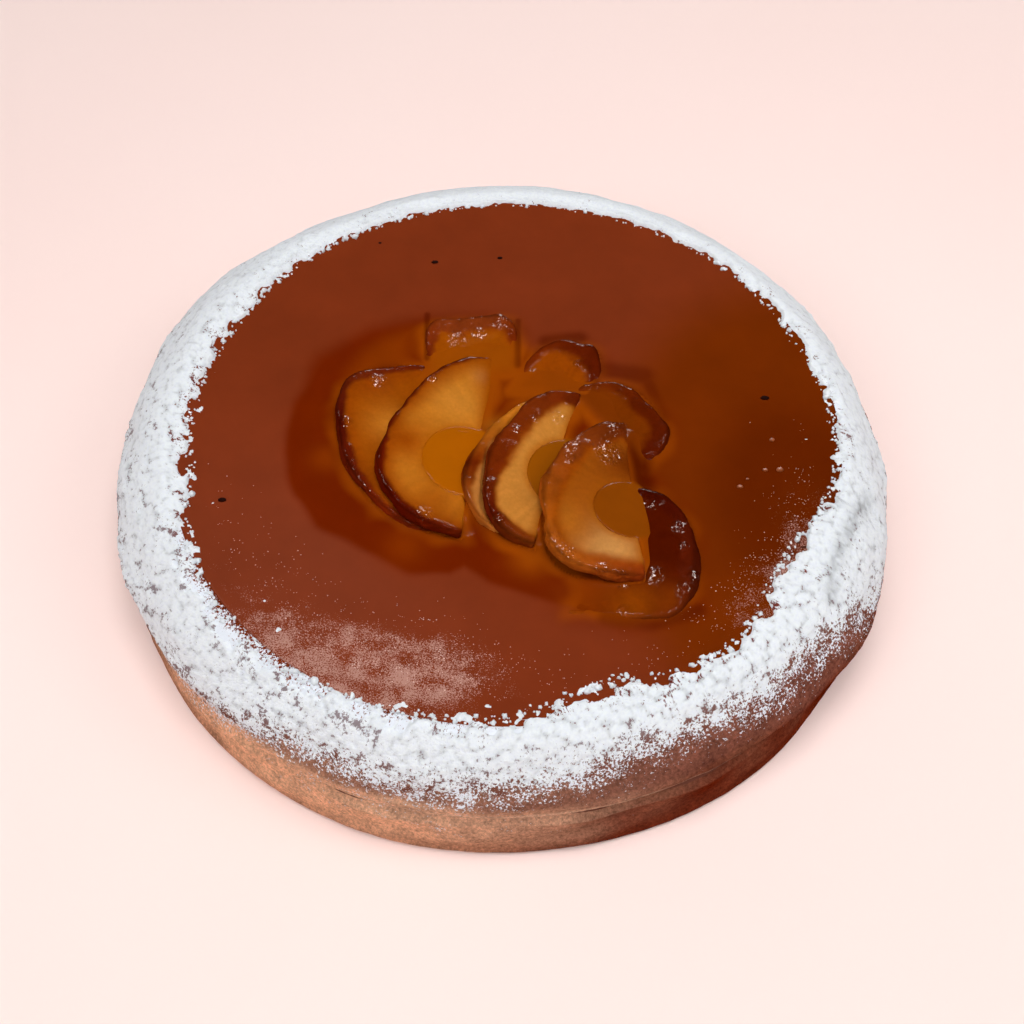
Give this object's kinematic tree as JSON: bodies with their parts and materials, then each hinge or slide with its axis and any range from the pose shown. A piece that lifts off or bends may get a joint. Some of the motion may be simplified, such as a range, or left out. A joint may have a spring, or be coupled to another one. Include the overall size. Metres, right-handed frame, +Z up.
{
  "type": "apple tart",
  "caption": "Round apple tart with a thick sugar-dusted crust rim, a caramel jelly top and a fan of cooked apple slices half sunk in it.",
  "frame": {"origin": "middle of the flat underside, on the surface that the tart stands on", "axes": "+Z up through the crust; -Y towards the front, where the widest band of sugar is; +X to the right"},
  "size_m": [0.241, 0.2424, 0.0454],
  "materials": {
    "crust": "matte baked dough with a white sugar rim",
    "jelly": "smooth reddish brown caramel jelly, softly glossy",
    "apple": "wet amber cooked apple with dark skin edges"
  },
  "bodies": {
    "root": {"crust": "crust", "caramel_jelly": "jelly", "apple_slice_front_low": "apple", "apple_slice_back_1": "apple", "apple_slice_back_2": "apple", "apple_slice_back_3": "apple", "apple_slice_1": "apple", "apple_slice_2": "apple", "apple_slice_3": "apple", "apple_slice_4": "apple", "apple_slice_5": "apple"}
  },
  "joints": []
}
